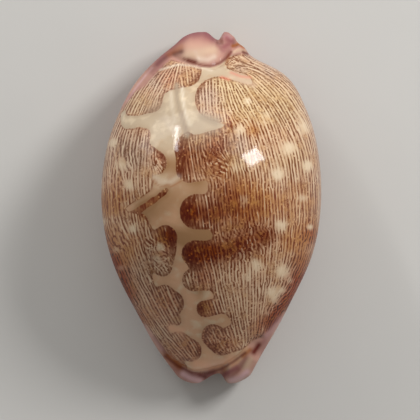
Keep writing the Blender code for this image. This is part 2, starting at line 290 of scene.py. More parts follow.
def canal_half(y, side, count):
    """Inner wall of one side where the shell is only a canal."""
    low = base_height(y) + rim_radius(y, side) + CANAL_LIP
    reach = (side * aperture_half(y), canal_roof(y) - low)
    return rounded(y, (aperture_side(y), low), reach, count, CANAL_SQUARENESS, from_side=True)


def hollow_half(y, side, depth, teeth):
    """Inner wall of one side where the shell is a full hollow: lip, floor, and up to the roof."""
    wall_x, lip_z = lip_wall(y, side), LIP_HEIGHTS[side]
    edge_x, edge_z = side * (half_width[side](y) - WALL), margin_height(y) + HOLLOW_MARGIN
    low = base_height(y) + rim_radius(y, side) + CANAL_LIP
    share = np.linspace(0.0, 1.0, LIP_WALL_STEPS + 1)[:-1]
    cut = depth[side] * groove(y, side, teeth) * (1 - share) ** 2
    wall = points(wall_x + side * cut, y, low + (lip_z - LIP_ROUND - low) * share)
    a = np.linspace(0.0, math.radians(LIP_TURN), LIP_STEPS + 1)[:-1]
    lip = points(
        wall_x + side * LIP_ROUND * (1 - np.cos(a)), y, lip_z - LIP_ROUND + LIP_ROUND * np.sin(a)
    )
    out, step = HOLLOW_FLOOR
    start_x = wall_x + side * out * LIP_ROUND
    start_z = min(LIP_HEIGHTS.values()) - LIP_ROUND + step * (lip_z - min(LIP_HEIGHTS.values()))
    reach = (edge_x - start_x, start_z - edge_z)
    floor = rounded(y, (start_x, edge_z), reach, FLOOR_STEPS, MARGIN_SQUARENESS)
    reach = (edge_x - ridge_side(y), ridge_height(y) - WALL - edge_z)
    roof = rounded(y, (ridge_side(y), edge_z), reach, ROOF_STEPS, BACK_SQUARENESS, from_side=True)
    return np.concatenate((wall, lip, floor, roof), axis=1)


def walls(y, teeth, depth):
    """The outer and the inner wall, each a row of places for each y, from lip to lip."""
    left, right = (outer_half(y, side, teeth, depth) for side in (-1, 1))
    outer = np.concatenate((left[:, :0:-1], right), axis=1)
    opened = opening(y)[..., None]
    halves = []
    for side in (-1, 1):
        hollow = hollow_half(y, side, depth, teeth)
        halves.append((1 - opened) * canal_half(y, side, hollow.shape[1]) + opened * hollow)
    canal_top = points(aperture_side(y), y, canal_roof(y))
    hollow_top = points(ridge_side(y), y, ridge_height(y) - WALL)
    top = (1 - opened) * canal_top + opened * hollow_top
    return outer, np.concatenate((halves[0], top, halves[1][:, ::-1]), axis=1)


def normals_of(grid):
    across, along = np.gradient(grid, axis=1), np.gradient(grid, axis=0)
    normals = np.cross(across, along)
    return normals / np.maximum(np.linalg.norm(normals, axis=2, keepdims=True), 1e-9)


def from_stroke(place, stroke):
    """How far each place is from a line drawn through the stroke's own places."""
    nearest = np.full(place.shape[:-1], np.inf)
    for start, end in zip(stroke, stroke[1:]):
        start, along = np.array(start), np.subtract(end, start)
        share = np.clip(((place - start) @ along) / (along @ along), 0, 1)
        gap = place - start - share[..., None] * along
        nearest = np.minimum(nearest, np.linalg.norm(gap, axis=-1))
    return nearest


def sculpted(outer, share):
    """The outer wall, its back raised and sunk along its normals by a share of what the strokes say."""
    seen = outer[..., :2]
    raised = sum(by * np.exp(-((from_stroke(seen, line) / reach) ** 2)) for by, reach, line in SCULPTED)
    column = abs(np.arange(outer.shape[1]) - outer.shape[1] // 2)
    fade = eased((ARCH_STEPS - column) / (ARCH_STEPS * SCULPTED_FADE))
    return outer + normals_of(outer) * (raised * fade)[..., None] * share


def shell_walls(teeth, depth):
    """Both walls of the whole shell, with its lobes rounded off and closed at both ends."""
    angles = quarter(TIP_STEPS)
    front = FRONT_END + TIP_ROUND * (1 - np.cos(angles))
    rear = REAR_END - TIP_ROUND * (1 - np.cos(angles))
    even = np.linspace(-1.0, 1.0, BODY_ROWS)
    crowded = even * (1 + END_CROWDING * (1 - even**2))
    body = (REAR_END + FRONT_END) / 2 + ((REAR_END - FRONT_END) / 2 - TIP_ROUND) * crowded
    y = np.concatenate((front, body, rear[::-1]))[:, None]
    share = np.concatenate((np.sin(angles), np.ones(BODY_ROWS), np.sin(angles)[::-1]))[:, None, None]
    outer, inner = walls(y, teeth, depth)
    middle = (outer + inner) / 2
    outer, inner = (notched(middle + (wall - middle) * share) for wall in (outer, inner))
    return sculpted(outer, share), inner


# The pale line and the brown lobes beside it, each lobe a chain of (x, y, radius) in picture pixels.
LOBES = (
    ((187, 73, 14.5), (168, 76, 15), (152, 86, 14)),
    ((168, 70, 10), (190, 73, 5)),
    ((152, 100, 13), (138, 104, 12), (130, 106, 10)),
    ((136, 147, 14), (149, 158, 12), (155.5, 163, 13)),
    ((128, 141, 12.5), (137, 140, 11.5)),
    ((140, 134.5, 6), (146, 134.5, 6)),
    ((164.5, 238, 13), (164.5, 250, 12.5), (162, 265, 11.5)),
    ((165, 297, 12.5), (173, 303, 12)),
    ((168, 318, 6), (177, 320.5, 5.3)),
    ((180, 343, 12), (190, 350, 12)),
    ((218, 99, 23), (250, 108, 22)),
    ((187.5, 135, 2.5), (190, 150, 12), (225, 142, 15)),
    ((185, 139, 4), (184, 147, 7)),
    ((190, 150, 14), (189.5, 169, 13.5), (220, 163, 14.5)),
    ((196.5, 212, 17.5), (225, 212, 17.5)),
    ((194.5, 254, 13.5), (225, 256, 15)),
    ((193.5, 280, 11.5), (220, 278, 12)),
    ((205, 309, 8.5), (225, 305, 8)),
    ((214, 336.5, 12.5), (221, 343, 13), (240, 336, 14)),
    ((229, 67, 2.5), (240, 69, 4.5), (252, 71, 5.5)),
)
# The far ends of the pale branches: beyond these lines the brown field is unbroken.
OUTER_FIELD = (
    (160, 50), (148, 84), (136, 100), (128, 107), (121, 114), (121, 124), (126, 131), (135, 140),
    (147, 170), (154, 182), (152, 190), (141, 198), (130, 205), (126, 209), (130, 213), (145, 215),
    (149, 221), (152, 228), (158, 250), (152, 272), (153, 277), (154, 284), (162, 300), (174, 313),
    (168, 327), (172, 340), (178, 352), (187, 366),
)  # fmt: skip
INNER_FIELD = (
    (240, 60), (250, 75), (253, 84), (246, 90), (244, 98), (237, 115), (237, 129), (222, 140),
    (214, 150), (208, 186), (209, 212), (213, 236), (213, 265), (213, 294), (222, 305), (228, 316),
    (236, 330), (247, 345), (268, 352),
)  # fmt: skip
STRIPE = (
    (167, 190, 2.2), (164, 192.5, 3.2), (158, 197, 2.6), (152, 201.5, 3.5), (146, 205.5, 2.8),
    (140, 209.5, 3.7), (134, 213, 3.2), (127, 217, 4.2),
)  # fmt: skip
ROUNDING = 1.4  # how softly neighbouring brown shapes run together

# Where the back is bare of lines, towards each end: outlines in picture pixels.
BARE_REAR = (
    (112, 124), (126, 104), (136, 92), (146, 86), (153, 77), (163, 66), (171, 60), (181, 63),
    (190, 65.5), (199, 67.5), (208, 68), (216, 67), (222, 64), (226, 60), (231, 56), (238, 54.5),
    (246, 54), (254, 58), (262, 50), (235, 20), (160, 20), (95, 95),
)  # fmt: skip
BARE_FRONT = (
    (131, 308), (141, 320), (146, 326), (153, 334), (160, 343), (166, 351), (172, 358.5), (178, 361),
    (186, 367.5), (195, 371.5), (207, 373), (220, 373), (229, 370), (237.5, 363.5), (243, 357.5),
    (248, 352), (252, 347), (260, 338), (269, 330), (277, 321), (284, 312), (292, 304), (310, 306),
    (295, 345), (262, 395), (160, 395), (115, 335),
)  # fmt: skip
SPIRE = ((224, 65.5), (229, 57), (234, 55), (246, 54), (260, 63.5), (256, 66.5), (240, 66), (230, 67.5))

# Soft round marks on the back: (x, y, radius) in picture pixels, and how strong each is.
MARKS = {
    "pale_spot": (
        (248, 101, 5, 0.9), (267, 116, 7, 0.6), (240, 130, 7, 0.8), (258, 122, 6, 0.4),
        (304, 128, 8, 0.8), (290, 148, 8, 0.8), (307, 166, 7, 1.0), (278, 175, 7, 1.0),
        (236, 166, 9, 0.6), (302, 198, 6, 0.7), (281, 226, 8, 0.9), (310, 227, 4, 0.9),
        (256, 265, 9, 0.8), (282, 271, 9, 0.9), (273, 294, 9, 0.9), (247, 278, 6, 0.6),
        (113, 143, 7, 0.8), (122, 165, 8, 0.8), (129, 185, 7, 0.9), (133, 229, 6, 0.9),
        (158, 179, 6, 1.0), (160, 247, 5, 0.9), (157, 259, 5, 0.7), (156, 165, 4, 0.6),
        (124, 205, 6, 0.5), (244, 201, 8, 0.5), (252, 233, 5, 0.4), (103, 222, 5, 0.7),
        (292, 253, 6, 0.5), (188, 78, 8, 0.3), (262, 203, 6, 0.3), (296, 178, 6, 0.5),
        (240, 254, 6, 0.4), (150, 250, 5, 0.4), (276, 155, 16, 0.3), (299, 113, 10, 0.5),
        (283, 290, 4, 0.6), (276, 303, 4, 0.3), (291, 281, 4, 0.5), (267, 313, 4, 0.5),
        (116, 250, 5, 0.5), (121, 268, 5, 0.5), (132, 247, 13, 0.2), (148, 316, 11, 0.25),
        (129, 285, 4, 0.4), (109, 236, 4, 0.4),
    ),
    "golden": (
        (250, 98, 32, 1.0), (286, 106, 22, 0.6), (225, 85, 16, 0.8), (300, 150, 18, 0.4),
        (235, 165, 16, 0.7), (198, 152, 20, 0.5), (140, 105, 14, 0.6), (190, 82, 10, 0.6),
        (150, 205, 14, 0.5), (275, 165, 20, 0.4), (255, 235, 16, 0.4),
    ),
    "mauve": (
        (135, 155, 24, 0.8), (160, 75, 15, 0.8), (140, 262, 20, 0.4), (150, 110, 12, 0.5),
        (270, 70, 14, 0.6), (208, 98, 14, 1.0), (255, 290, 18, 0.4), (240, 70, 10, 0.6),
        (238, 143, 13, 0.9), (160, 82, 12, 0.5),
    ),
    "umber": (
        (168, 79, 13, 0.7), (166, 303, 20, 0.9), (188, 348, 22, 1.0), (222, 342, 20, 0.8),
        (207, 309, 13, 1.0), (205, 278, 13, 0.9), (113, 190, 18, 0.6), (165, 250, 12, 0.6),
        (160, 158, 9, 0.7), (130, 240, 14, 0.5), (262, 325, 12, 0.8), (195, 82, 12, 0.4),
        (140, 320, 14, 0.6),
    ),
    "rust": (
        (310, 230, 15, 0.9), (105, 238, 15, 1.0), (105, 205, 11, 0.9), (314, 200, 8, 0.4),
        (120, 262, 12, 0.6), (245, 215, 18, 0.4), (252, 130, 10, 0.7), (300, 190, 10, 0.4),
        (230, 122, 9, 0.7), (145, 210, 12, 0.8), (245, 195, 20, 0.8), (220, 170, 16, 0.6),
        (280, 205, 18, 0.8), (305, 262, 12, 0.9), (292, 245, 12, 0.6), (308, 205, 10, 0.3),
        (155, 203, 10, 0.9), (262, 262, 10, 0.3), (222, 235, 16, 0.4), (168, 238, 9, 0.6),
        (114, 202, 14, 1.0), (204, 309, 10, 1.0), (163, 238, 10, 0.7), (252, 205, 18, 0.6),
        (130, 250, 18, 0.6), (262, 258, 10, 0.3), (150, 318, 12, 0.4), (190, 212, 14, 0.5),
        (290, 240, 14, 0.4), (115, 170, 14, 0.3),
    ),
    "russet": (
        (306, 264, 18, 0.5), (290, 302, 16, 1.0), (275, 322, 14, 0.9), (258, 340, 12, 0.6),
        (312, 235, 12, 0.7), (106, 262, 16, 0.9), (112, 280, 18, 1.0), (122, 300, 18, 1.0),
        (136, 322, 11, 0.9), (101, 238, 11, 0.7), (155, 348, 8, 0.6), (190, 253, 10, 0.8),
        (300, 282, 12, 0.8), (101, 205, 7, 0.4),
    ),
    "tan": (
        (170, 165, 12, 0.8), (175, 195, 18, 0.6), (160, 207, 16, 0.5), (199, 184, 12, 0.75),
        (203, 234, 16, 1.0), (178, 234, 12, 0.6), (146, 214, 12, 0.6), (205, 328, 12, 0.2),
        (226, 318, 10, 0.2), (184, 240, 8, 0.6), (200, 292, 7, 0.6), (140, 200, 12, 0.5),
        (178, 262, 10, 0.3),
    ),
    "deep": (
        (250, 240, 17, 0.6), (232, 250, 14, 0.6), (193, 254, 14, 1.0), (212, 252, 14, 0.8),
        (188, 212, 15, 0.9), (184, 172, 12, 0.5), (205, 165, 14, 0.4), (212, 215, 15, 0.6),
        (184, 152, 13, 0.6), (215, 147, 15, 0.6), (161, 157, 8, 0.3), (170, 236, 10, 1.0),
        (240, 210, 20, 0.6), (201, 278, 9, 0.4), (290, 312, 10, 0.7), (200, 308, 7, 0.6),
        (114, 290, 10, 0.6), (225, 190, 16, 0.5), (268, 235, 12, 0.6), (272, 325, 9, 0.7),
        (165, 195, 5, 0.8), (116, 203, 12, 0.25),
    ),
    "solid": (
        (184, 140, 6, 0.9), (184, 152, 9, 1.0), (184, 168, 9, 1.0), (188, 205, 10, 1.0),
        (188, 220, 10, 1.0), (190, 250, 13, 1.0), (191, 258, 9, 0.6), (171, 238, 8, 0.9),
        (172, 250, 5, 0.6), (181, 300, 9, 0.7), (167, 160, 9, 0.8), (202, 309, 6, 0.6),
        (210, 335, 7, 0.7), (214, 350, 8, 0.7), (196, 352, 7, 0.6), (194, 282, 8, 0.4),
        (200, 95, 8, 0.4), (193, 78, 8, 0.5), (155, 108, 9, 0.5), (165, 265, 8, 0.5),
        (158, 199, 9, 0.7), (140, 212, 9, 0.7),
    ),
    "maze": (
        (216, 166, 11, 1.0), (160, 255, 11, 0.9), (238, 245, 13, 0.6), (163, 160, 8, 0.7),
        (240, 118, 9, 0.25), (112, 185, 14, 0.6), (262, 240, 12, 0.5), (240, 60, 12, 0.8),
        (118, 235, 12, 0.5), (222, 345, 9, 0.4), (285, 300, 16, 0.6), (128, 165, 8, 0.4),
        (103, 215, 12, 0.5), (107, 250, 14, 0.6), (116, 278, 14, 0.6), (128, 300, 12, 0.5),
        (112, 150, 10, 0.4), (305, 240, 12, 0.4), (298, 270, 12, 0.5),
    ),
}  # fmt: skip

# Soft strokes at the ends: (radius, how strong, the picture pixels it runs through).
END_MARKS = {
    "cream": (
        (6.5, 0.95, (188, 55), (200, 53), (213, 50)), (2.2, 0.9, (234, 52), (239, 50), (245, 51)),
        (4.0, 0.9, (245, 367), (250, 360)), (3.0, 0.6, (184, 374), (192, 379), (201, 382)),
        (3.0, 0.6, (228, 381), (236, 381), (243, 379)), (3.0, 0.5, (230, 76), (242, 82), (254, 85)),
    ),
    "butter": ((5.5, 0.9, (197, 364), (213, 368), (231, 361)), (4.0, 0.7, (171, 328), (182, 331))),
    # Nearly white enamel along the rear lobe's arc and beside the seam, with one painted highlight.
    "ivory": (
        (1.1, 0.45, (160, 70), (165, 68.5), (170, 67), (175, 65.3), (180, 64.5), (190, 65.6),
            (200, 68.2), (212, 70.5)),
        (1.5, 0.6, (182, 88), (183, 102), (185.5, 115), (190, 125)),
        # On the next line, the stroke from (199, 59) to (214, 57) is a painted highlight on the rear
        # lobe's lower edge by the crease.
        (1.8, 0.4, (171, 92), (172, 108), (175, 122)), (3.0, 0.4, (199, 59), (208, 60), (214, 57)),
        (2.6, 0.3, (154, 176), (160, 181.5), (171, 182), (178, 177)),
    ),
    "dusk": (
        (3.0, 0.9, (157, 64.5), (160, 61.5), (167, 56), (174, 53), (181, 51.5)),
        (4.0, 0.5, (151, 71), (157, 64.5)), (5.5, 0.2, (144, 80), (151, 71)),
        (1.9, 0.6, (181.5, 112), (184, 122), (188, 135)),
    ),
    "rosy": (
        (6.0, 1.0, (170, 47), (176, 41), (188, 33), (203, 31), (213, 37)),
        (6.0, 0.8, (162, 55), (170, 47)), (3.0, 0.5, (215, 41), (223, 50)),
        (3.0, 0.7, (224, 47), (229, 44)), (4.5, 0.8, (226, 36), (231, 41)),
        # On the next line, the stroke from (205, 375) to (213, 373) is painted shade in the front crease
        # by its notch. The other rosy strokes are the ends' own mauve-pink.
        (4.0, 0.8, (205, 375), (213, 373)), (4.0, 0.8, (225, 374), (237, 368)),
        (3.5, 0.5, (264, 342), (279, 318)), (5.0, 0.6, (187, 377), (201, 376)),
        (6.0, 0.6, (157, 62), (162, 55)), (5.5, 0.35, (149, 71), (157, 62)),
        (5.0, 0.15, (138, 86), (149, 71)),
    ),
    "amber": (
        (3.5, 0.4, (169, 54), (181, 47)), (1.9, 1.0, (233, 46), (239, 44), (244, 47)),
        (4.2, 1.0, (168, 355), (180, 366)), (2.5, 0.8, (243, 356), (250, 350)),
        (1.5, 0.6, (229, 55), (226, 61)),
        (0.9, 0.45, (153, 180), (157, 184.5), (162, 186.5), (167, 185), (172, 186.5), (177, 183.5),
            (181, 181)),
    ),
    # Real dark spots on the spire knob and the inner lip, and painted shade along the rear and the front
    # crease and by the front notch.
    "maroon": (
        (1.6, 0.75, (184, 59), (190, 61.5), (200, 65), (209, 66.3), (219, 63.5), (226, 58.5),
            (231, 52)),
        (2.6, 1.0, (188, 60.5), (195, 62.5)), (1.6, 0.9, (243, 52), (247, 54)),
        (3.2, 1.0, (254, 352), (259, 345)),
        (1.7, 0.7, (165, 356), (178, 366), (193, 373.5), (208, 373), (221, 369), (233, 362),
            (245, 353)),
        (2.5, 0.8, (199, 375), (205, 377)), (2.4, 0.4, (232, 377), (240, 369), (246, 358)),
        (2.0, 0.4, (154, 337), (168, 357)), (1.0, 0.5, (232, 55.5), (240, 54)),
    ),
    # Pinkish-white lower rims of the lips and of the callus strips, and painted highlights: the thin
    # streak along the upper left edge, (127, 101) to (152, 68), and the top of the bead by the rear
    # canal, (223, 37) to (231, 38).
    "pearl": (
        (3.0, 0.9, (183, 374), (190, 378), (200, 381)),
        (3.0, 0.9, (231, 380.5), (240, 378), (247, 372)),
        (2.5, 0.25, (145, 327), (153, 338), (161, 349)), (1.5, 0.2, (223, 37), (227, 35), (231, 38)),
        (3.0, 0.25, (266, 336), (273, 330), (282, 319)), (1.1, 0.5, (133, 92), (138, 85), (146, 75)),
        (1.3, 0.25, (127, 101), (133, 92)), (1.3, 0.25, (146, 75), (152, 68)),
    ),
    "veil": (
        (2.8, 0.9, (176.5, 85), (177.2, 98), (179.5, 112), (183, 124), (187, 136)),
        (6.0, 0.9, (203, 117), (216, 122)), (14.0, 0.5, (160, 110), (178, 124), (198, 126)),
        (5.0, 0.45, (197, 133), (215, 131)),
    ),
    "blush": ((1.4, 0.6, (221, 77), (229, 79.5)), (1.4, 0.5, (231, 72.5), (241, 76.5), (250, 77.5))),
}  # fmt: skip

# The lines of each side run as if ruled through two places, one at each end.
LINES_FRONT = {-1: (4.0, -36.5, 5.0), 1: (8.2, -33.5, 5.0)}
LINES_REAR = {-1: (-6.0, 33.5, 12.0), 1: (1.0, 33.0, 14.0)}
LINES_CHANGE = (-7.0, 3.0)  # from the one side's places to the other's, across the back
LEAST_FACING = 0.5  # down the steep sides the lines stand up to twice as far apart
MARKS_FADE = 2.0  # the marks of the back die out over this height below the margin
INSIDE_BARE = 5.0  # the inner wall counts as this far within the bare callus
# The callus covers each side up to this height: (place along the shell, height).
CALLUS_HEIGHT = {
    -1: (
        (-37.5, 5.0), (-35.0, 7.0), (-33.0, 9.4), (-31.0, 10.8), (-28.6, 12.2), (-24.5, 10.0),
        (-20.0, 7.5), (0.0, 6.5), (15.0, 7.0), (21.0, 9.0), (24.8, 14.5), (27.8, 14.0), (31.0, 11.0),
        (37.5, 8.0),
    ),
    1: (
        (-37.5, 5.0), (-35.0, 7.3), (-33.0, 10.2), (-31.0, 12.3), (-27.8, 14.0), (-24.0, 11.0),
        (-20.0, 8.0), (0.0, 7.0), (20.0, 7.0), (27.0, 7.0), (31.0, 7.0), (37.5, 7.0),
    ),
}  # fmt: skip


def seen_from_above(place):
    """Where each place shows in the picture, as millimetres from its middle at the picture's level."""
    scale = (EYE_HEIGHT - PICTURE_LEVEL) / (EYE_HEIGHT - place[..., 2])
    return place[..., :2] * scale[..., None]


def picture(x, y):
    """A picture pixel as millimetres from the middle."""
    return (x - PICTURE_MIDDLE[0]) * PICTURE_PIXEL, (PICTURE_MIDDLE[1] - y) * PICTURE_PIXEL


class Unrolled:
    """The outer wall laid flat: s runs over the back from its ridge and t along the shell."""

    def __init__(self, outer):
        steps = np.linalg.norm(np.diff(outer[..., ::2], axis=1), axis=2)
        s = np.concatenate((np.zeros((len(outer), 1)), np.cumsum(steps, axis=1)), axis=1)
        middle = outer.shape[1] // 2
        s -= s[:, middle : middle + 1]
        self.flat = np.stack((s, outer[..., 1]), axis=-1)
        top = slice(middle - ARCH_STEPS, middle + ARCH_STEPS + 1)
        self.seen = seen_from_above(outer)
        self.shown = self.seen[:, top].reshape(-1, 2)
        self.shown_flat = self.flat[:, top].reshape(-1, 2)

    def place(self, x, y):
        """The (s, t) of a picture pixel, from the four nearest places of the wall."""
        gap = np.linalg.norm(self.shown - picture(x, y), axis=1)
        near = np.argpartition(gap, 4)[:4]
        weight = 1 / (gap[near] + 1e-3) ** 2
        return (self.shown_flat[near] * weight[:, None]).sum(axis=0) / weight.sum()

    def from_chain(self, chain):
        """Distance from the outline of a chain of (x, y, radius), negative inside."""
        nearest = np.full(self.flat.shape[:2], np.inf)
        for start, end in zip(chain, chain[1:]):
            a, b = self.place(*start[:2]), self.place(*end[:2])
            share = np.clip(((self.flat - a) @ (b - a)) / ((b - a) @ (b - a)), 0, 1)
            gap = np.linalg.norm(self.flat - a - share[..., None] * (b - a), axis=-1)
            radius = (start[2] + (end[2] - start[2]) * share) * PICTURE_PIXEL
            nearest = np.minimum(nearest, gap - radius)
        return nearest

    def from_field(self, edge, side):
        """Distance from a field's edge, negative on the field's side of it."""
        s, t = np.array(sorted((self.place(*pixel) for pixel in edge), key=lambda place: place[1])).T
        return side * (np.interp(self.flat[..., 1], t, s) - self.flat[..., 0])

    def within(self, outline):
        """Distance inside a closed outline of picture pixels, negative outside it."""
        corners = [picture(*pixel) for pixel in outline]
        x, y = self.seen[..., 0], self.seen[..., 1]
        inside = np.zeros(x.shape, bool)
        for (xa, ya), (xb, yb) in zip(corners, corners[1:] + corners[:1]):
            crosses = (ya > y) != (yb > y)
            inside ^= crosses & (x < xa + (y - ya) * (xb - xa) / (yb - ya or 1.0))
        gap = from_stroke(self.seen, corners + corners[:1])
        return np.where(inside, gap, -gap)

    def marked(self, table):
        """Soft round marks together, each as strong as it says in its middle."""
        total = np.zeros(self.flat.shape[:2])
        for x, y, radius, strength in table:
            gap = np.linalg.norm(self.seen - picture(x, y), axis=-1) / (radius * PICTURE_PIXEL)
            total += strength * np.exp(-(gap**2))
        return np.clip(total, 0, 1)

    def stroked(self, table):
        """Soft strokes together, each as strong as it says along its middle."""
        total = np.zeros(self.flat.shape[:2])
        for radius, strength, *places in table:
            gap = from_stroke(self.seen, [picture(*pixel) for pixel in places])
            gap = gap / (radius * PICTURE_PIXEL)
            total = np.maximum(total, strength * np.exp(-(gap**2)))
        return total


def joined(a, b):
    """The union of two shapes given as distances, rounded where they meet."""
    near = np.clip(0.5 + 0.5 * (b - a) / ROUNDING, 0, 1)
    return b + (a - b) * near - ROUNDING * near * (1 - near)


def brown_shapes(unrolled):
    """Distance from the pale line's edge, positive on the brown side."""
    shape = joined(unrolled.from_field(OUTER_FIELD, -1), unrolled.from_field(INNER_FIELD, 1))
    for chain in LOBES:
        shape = joined(shape, unrolled.from_chain(chain))
    shape = np.minimum(shape, unrolled.from_chain(STRIPE))
    return np.maximum(-shape, unrolled.within(SPIRE))


def across_lines(outer):
    """The direction on the wall that crosses the lines, at each place."""
    share = eased((outer[..., :1] - LINES_CHANGE[0]) / (LINES_CHANGE[1] - LINES_CHANGE[0]))
    front = np.array(LINES_FRONT[-1]) * (1 - share) + np.array(LINES_FRONT[1]) * share
    rear = np.array(LINES_REAR[-1]) * (1 - share) + np.array(LINES_REAR[1]) * share
    axis = (rear - front) / np.linalg.norm(rear - front, axis=2, keepdims=True)
    round_axis = np.cross(axis, outer - front)
    normals = normals_of(outer)
    across = round_axis - (round_axis * normals).sum(axis=2, keepdims=True) * normals
    return across / np.maximum(np.linalg.norm(across, axis=2, keepdims=True), 1e-6)


def callus_over(outer):
    """How far each place is below the callus's upper edge, in millimetres."""
    y, side = outer[..., 1], np.arange(outer.shape[1]) > outer.shape[1] // 2
    limit = np.where(side, spline(CALLUS_HEIGHT[1])(y), spline(CALLUS_HEIGHT[-1])(y))
    return limit - outer[..., 2]


def marks_on(outer, teeth):
    """Every marking of the outer wall, by name, with a value for each place."""
    unrolled = Unrolled(outer)
    upper = eased((outer[..., 2] - margin_height(outer[..., 1])) / MARKS_FADE + 1.0)
    marks = {name: unrolled.marked(table) * upper for name, table in MARKS.items()}
    marks.update({name: unrolled.stroked(table) * upper for name, table in END_MARKS.items()})
    marks["map"] = brown_shapes(unrolled)
    bare = np.maximum(unrolled.within(BARE_REAR), unrolled.within(BARE_FRONT))
    marks["bare"] = np.maximum(bare, callus_over(outer))
    marks["across"] = across_lines(outer)
    marks["facing"] = np.clip(np.linalg.norm(marks["across"][..., :2], axis=-1), LEAST_FACING, 1.0)
    y = outer[:, :1, 1]
    near = {side: 1 - abs(outer[..., 0] - lip_wall(y, side)) / TOOTH_STAIN_REACH for side in (-1, 1)}
    side = np.where(outer[..., 0] > aperture_side(y), 1, -1)
    tooth = {s: np.clip(near[s], 0, 1) * (1 - groove(y, s, teeth)) for s in (-1, 1)}
    marks["tooth"] = np.where(side > 0, tooth[1], tooth[-1]) * (outer[..., 2] < margin_height(y))
    return marks


def deselect():
    bpy.ops.object.select_all(action="DESELECT")


MERGED_WITHIN = 1e-7  # metres


def wrapped_sheet(name, outer, inner, marks):
    """A grid wrapped into the closed shell, its seams merged, with its marks as attributes."""
    sheet = np.concatenate((outer, inner[:, ::-1], outer[:, :1]), axis=1)
    rows, columns = sheet.shape[:2]
    deselect()
    bpy.ops.mesh.primitive_grid_add(x_subdivisions=columns - 1, y_subdivisions=rows - 1, calc_uvs=False)
    piece = bpy.context.object
    piece.name = piece.data.name = name
    piece.data.vertices.foreach_set("co", (sheet * MM).ravel())
    for mark, value in marks.items():
        whole = np.zeros((rows, columns) + value.shape[2:])
        whole[:, : outer.shape[1]] = value
        whole[:, -1] = value[:, 0]
        if mark == "bare":
            whole[:, outer.shape[1] : -1] = INSIDE_BARE
        kind, field = ("FLOAT_VECTOR", "vector") if value.ndim == 3 else ("FLOAT", "value")
        piece.data.attributes.new(mark, kind, "POINT").data.foreach_set(field, whole.ravel())
    bpy.ops.object.mode_set(mode="EDIT")
    bpy.ops.mesh.select_all(action="SELECT")
    bpy.ops.mesh.remove_doubles(threshold=MERGED_WITHIN)
    bpy.ops.mesh.select_mode(type="VERT")
    bpy.ops.mesh.select_all(action="DESELECT")
    bpy.ops.mesh.select_non_manifold()
    bpy.ops.object.mode_set(mode="OBJECT")
    if any(vertex.select for vertex in piece.data.vertices):
        raise RuntimeError(f"the sheet of {name} isn't closed")
    bpy.ops.object.shade_smooth()
    return piece


# The shader nodes that the materials are made of, by what each does for them: its kind, its settings,
# the inputs or settings that the values given to it go to in order, and the output that comes back.
NODES = {
    "place": ("TexCoord", {}, (), "Object"),
    "mark": ("Attribute", {}, ("attribute_name",), "Fac"),
    "direction": ("Attribute", {}, ("attribute_name",), "Vector"),
    "along": ("SeparateXYZ", {}, (0,), "Y"),
    "stretch": ("VectorMath", {"operation": "MULTIPLY"}, (0, 1), 0),
    "plus": ("Math", {"operation": "ADD"}, (0, 1), 0),
    "minus": ("Math", {"operation": "SUBTRACT"}, (0, 1), 0),
    "times": ("Math", {"operation": "MULTIPLY"}, (0, 1), 0),
    "over": ("Math", {"operation": "DIVIDE"}, (0, 1), 0),
    "most": ("Math", {"operation": "MAXIMUM"}, (0, 1), 0),
    "size": ("Math", {"operation": "ABSOLUTE"}, (0,), 0),
    "ramp": ("MapRange", {"interpolation_type": "SMOOTHSTEP"}, (0, 1, 2, 3, 4), 0),
    "blend": ("Mix", {"data_type": "RGBA"}, (6, 7, 0), 2),
    "clouds": ("TexNoise", {}, ("Vector", "Scale", "Detail"), 0),
    "cells": ("TexVoronoi", {}, ("Vector", "Scale"), "Distance"),
    "forks": (
        "TexGabor",
        {"gabor_type": "3D"},
        ("Vector", "Scale", "Frequency", "Anisotropy", 5),  # 5 is the direction that the lines cross
        "Phase",
    ),
    "ripple": ("Bump", {}, ("Strength", "Distance", "Height"), 0),
    "surface": ("BsdfPrincipled", {}, (), 0),
    "finish": ("OutputMaterial", {}, (0,), None),
}


def add_node(tree, word, *values, **named):
    """Adds a node of the table. A lower-case name is one of the node's settings, a capitalised one or a
    number is an input, and an input takes a value or is linked to a socket."""
    kind, settings, order, output = NODES[word]
    node = tree.nodes.new("ShaderNode" + kind)
    for name, value in (*settings.items(), *zip(order, values), *named.items()):
        if isinstance(name, str) and name[0].islower():
            setattr(node, name, value)
            continue
        socket = node.inputs[name.replace("_", " ") if isinstance(name, str) else name]
        if isinstance(value, bpy.types.NodeSocket):
            tree.links.new(value, socket)
        else:
            socket.default_value = value
    return None if output is None else node.outputs[output]


def new_material(name):
    """An empty material, and the function that adds a node to it."""
    material = bpy.data.materials.new(name)
    material.use_nodes = True
    material.node_tree.nodes.clear()
    return material, functools.partial(add_node, material.node_tree)


def summed(add, base, *parts):
    """A base value plus parts, each a value and its share."""
    for value, share in parts:
        base = add("plus", base, add("times", value, share))
    return base


# Cloudy unevenness of the enamel: the size of its lumps in millimetres, and how detailed they are.
CLOUDS = {
    "broad": (8.0, 2.0),
    "blur": (3.0, 1.0),
    "middling": (1.6, 2.0),
    "dash": (0.5, 1.0),
    "fine": (0.40, 1.0),
    "grain": (0.30, 2.0),
}
DASH_STRETCH = (1.0, 0.3, 1.0)  # dashes are drawn out along the shell
BUNDLE_REACH, BUNDLE_SPACING = 1.3, 2.3  # lines gather in bundles, so much longer and wider than one
SPECK_CELL = 0.95  # millimetres from one pale speck among the lines to the next
PALE_TURNS = (16.0, -4.0)  # the pale line turns from its rear to its front colour between these places
BROWNS = ("golden", "mauve", "umber", "rust", "russet", "deep")
RIPPLE_DEPTH = 0.009  # millimetres


def line_wave(add, place, reach, spacing):
    """Forking lines that keep one spacing: 0 along the middle of each line and 1 between lines."""
    maze = add("mark", "maze")
    number = add("times", add("mark", "facing"), summed(add, 1.0, (maze, -0.3)))
    ruled = summed(add, 1.0, (maze, -0.8))
    crossing = add("direction", "across")
    wave = add("forks", place, 1 / reach, add("times", number, reach / spacing), ruled, crossing)
    return add("size", add("minus", add("times", wave, 2.0), 1.0))


